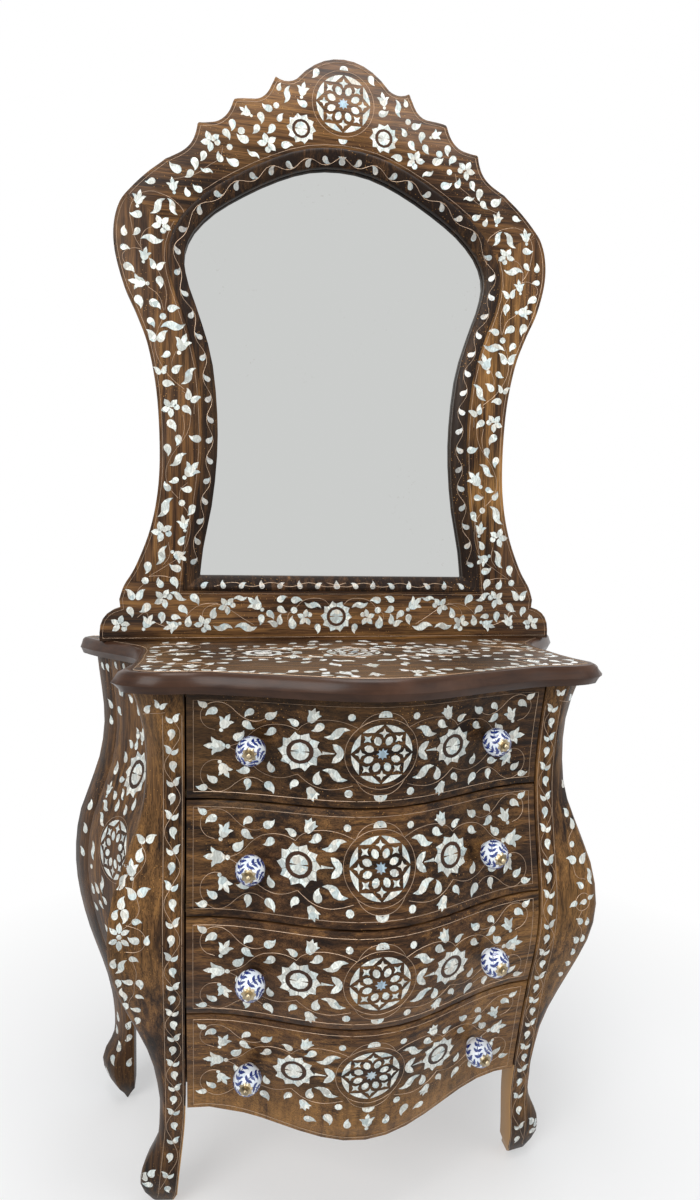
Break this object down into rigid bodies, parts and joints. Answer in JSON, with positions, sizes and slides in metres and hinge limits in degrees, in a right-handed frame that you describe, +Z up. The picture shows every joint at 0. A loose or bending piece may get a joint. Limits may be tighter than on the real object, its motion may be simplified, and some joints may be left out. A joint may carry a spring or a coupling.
{
  "type": "serpentine chest of drawers with standing mirror",
  "caption": "Inlaid walnut chest with a swelling serpentine front, drawers with ceramic knobs, cabriole corner posts and a shaped mirror frame standing on its top.",
  "frame": {"origin": "on the floor, under the middle of the whole object's width and depth", "axes": "+Z up, +Y towards the back, +X towards the right seen from the front, so the drawers open towards -Y"},
  "size_m": [0.9072, 0.5016, 1.8363],
  "materials": {
    "walnut": "polished walnut with pearl and wire inlay, semi-gloss",
    "dark_walnut": "very dark stained walnut, glossy",
    "inside_wood": "plain planed wood, matt",
    "ceramic": "white glazed ceramic with blue painted leaves",
    "brass": "worn brass",
    "mirror_glass": "silvered glass"
  },
  "bodies": {
    "case": {"top_panel": "walnut", "top_lipping": "dark_walnut", "front_post_left": "walnut", "front_post_right": "walnut", "rear_post_left": "walnut", "rear_post_right": "walnut", "side_panel_left": "walnut", "side_panel_right": "walnut", "back_panel": "inside_wood", "top_rail": "inside_wood", "dust_board_1": "inside_wood", "dust_board_2": "inside_wood", "dust_board_3": "inside_wood", "dust_board_4": "inside_wood", "mirror_crest": "walnut", "mirror_stile_left": "walnut", "mirror_stile_right": "walnut", "mirror_bottom_rail": "walnut", "mirror_inner_moulding": "dark_walnut", "mirror_glass": "mirror_glass", "mirror_back_board": "inside_wood", "mirror_batten_left": "inside_wood", "mirror_batten_right": "inside_wood"},
    "drawer_1": {"drawer_1_front": "walnut", "drawer_1_side_left": "inside_wood", "drawer_1_side_right": "inside_wood", "drawer_1_bottom": "inside_wood", "drawer_1_back": "inside_wood", "knob_1_left": "ceramic", "knob_1_right": "ceramic", "knob_bolt_1_left": "brass", "knob_bolt_1_right": "brass"},
    "drawer_2": {"drawer_2_front": "walnut", "drawer_2_side_left": "inside_wood", "drawer_2_side_right": "inside_wood", "drawer_2_bottom": "inside_wood", "drawer_2_back": "inside_wood", "knob_2_left": "ceramic", "knob_2_right": "ceramic", "knob_bolt_2_left": "brass", "knob_bolt_2_right": "brass"},
    "drawer_3": {"drawer_3_front": "walnut", "drawer_3_side_left": "inside_wood", "drawer_3_side_right": "inside_wood", "drawer_3_bottom": "inside_wood", "drawer_3_back": "inside_wood", "knob_3_left": "ceramic", "knob_3_right": "ceramic", "knob_bolt_3_left": "brass", "knob_bolt_3_right": "brass"},
    "drawer_4": {"drawer_4_front": "walnut", "drawer_4_side_left": "inside_wood", "drawer_4_side_right": "inside_wood", "drawer_4_bottom": "inside_wood", "drawer_4_back": "inside_wood", "knob_4_left": "ceramic", "knob_4_right": "ceramic", "knob_bolt_4_left": "brass", "knob_bolt_4_right": "brass"}
  },
  "joints": [
    {"name": "drawer_1_slide", "type": "slide", "parent": "case", "child": "drawer_1", "axis": [0, -1, 0], "range_m": [0, 0.26]},
    {"name": "drawer_2_slide", "type": "slide", "parent": "case", "child": "drawer_2", "axis": [0, -1, 0], "range_m": [0, 0.26]},
    {"name": "drawer_3_slide", "type": "slide", "parent": "case", "child": "drawer_3", "axis": [0, -1, 0], "range_m": [0, 0.26]},
    {"name": "drawer_4_slide", "type": "slide", "parent": "case", "child": "drawer_4", "axis": [0, -1, 0], "range_m": [0, 0.26]}
  ]
}
